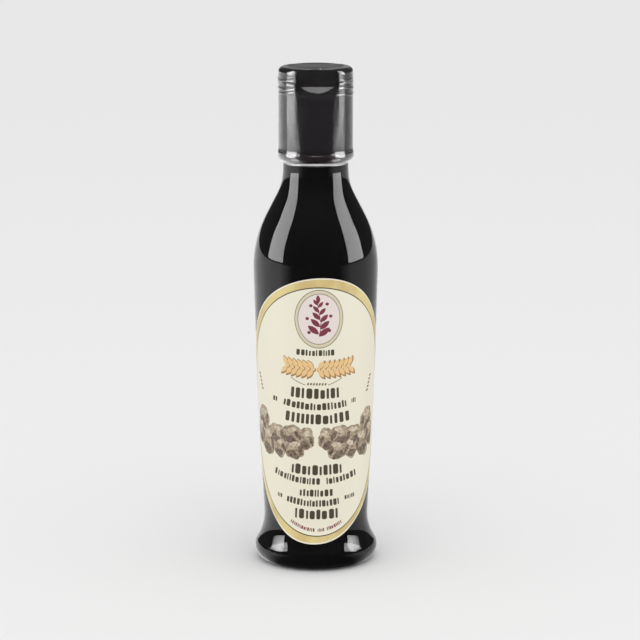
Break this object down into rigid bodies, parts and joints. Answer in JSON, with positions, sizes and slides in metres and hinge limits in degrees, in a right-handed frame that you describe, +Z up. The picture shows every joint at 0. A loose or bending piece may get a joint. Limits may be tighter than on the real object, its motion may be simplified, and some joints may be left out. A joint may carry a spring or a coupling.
{
  "type": "balsamic glaze bottle",
  "caption": "Waisted clear squeeze bottle filled with dark glaze, with a black flip-top cap, a shrink seal and an oval paper label.",
  "frame": {"origin": "middle of the standing ring, on the surface the bottle stands on", "axes": "+Z up the bottle's axis, -Y towards the middle of the label and the lid's thumb notch"},
  "size_m": [0.05, 0.0501, 0.2007],
  "materials": {
    "clear_plastic": "clear, glossy blown plastic",
    "dark_glaze": "near-black, thick, glossy",
    "black_plastic": "glossy black moulding",
    "seal_film": "thin clear shrink film",
    "label_paper": "satin cream paper, printed"
  },
  "bodies": {
    "root": {"bottle": "clear_plastic", "glaze": "dark_glaze", "flip_cap": "black_plastic", "shrink_band": "seal_film", "label": "label_paper"}
  },
  "joints": []
}
